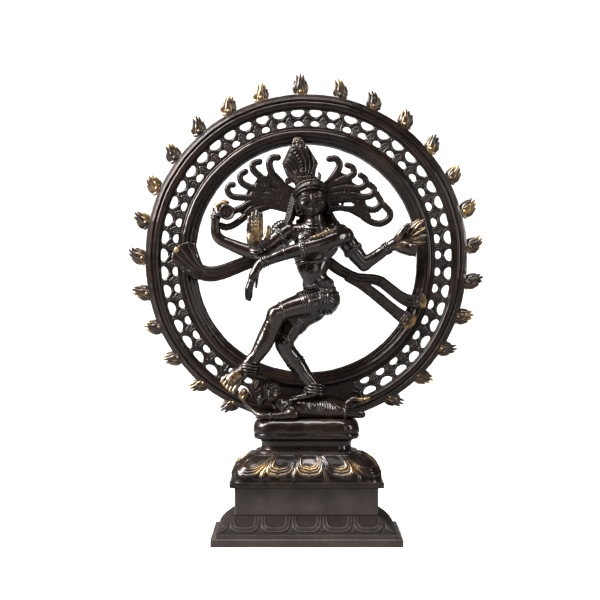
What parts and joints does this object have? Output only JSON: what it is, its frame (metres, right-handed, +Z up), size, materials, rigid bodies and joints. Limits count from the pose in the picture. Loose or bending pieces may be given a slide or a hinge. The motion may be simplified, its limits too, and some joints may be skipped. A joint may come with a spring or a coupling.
{
  "type": "nataraja statue",
  "caption": "Antique-finish brass dancing figure inside a flaming openwork hoop, standing on a prone dwarf on a stepped lotus pedestal.",
  "frame": {"origin": "middle of the plinth's footprint, on the surface it stands on", "axes": "+Z up, -Y is the side the figure faces, +X to the viewer's right"},
  "size_m": [0.2952, 0.104, 0.381],
  "materials": {
    "patinated_brass": "dark brown-black antique patina over brass, polished",
    "rubbed_brass": "antique patina rubbed back to golden brass on the high points",
    "plain_brass": "machined"
  },
  "bodies": {
    "root": {"plinth": "patinated_brass", "lotus_pedestal": "patinated_brass", "aureole_outer_rim": "patinated_brass", "aureole_openwork": "patinated_brass", "aureole_inner_rim": "patinated_brass", "dwarf": "patinated_brass", "figure_body": "patinated_brass", "head": "patinated_brass", "crown": "patinated_brass", "drum_side_hair": "patinated_brass", "flame_side_hair": "patinated_brass", "blessing_arm": "patinated_brass", "crossing_arm": "patinated_brass", "drum_arm": "patinated_brass", "flame_arm": "patinated_brass", "hand_drum": "patinated_brass", "drum_side_sash": "patinated_brass", "flame_side_sash": "patinated_brass", "aureole_flames": "rubbed_brass", "hand_flame": "rubbed_brass", "cobra": "rubbed_brass", "plinth_screws": "plain_brass", "aureole_studs": "plain_brass", "aureole_nuts": "plain_brass", "figure_stud": "plain_brass", "figure_nut": "plain_brass"}
  },
  "joints": []
}
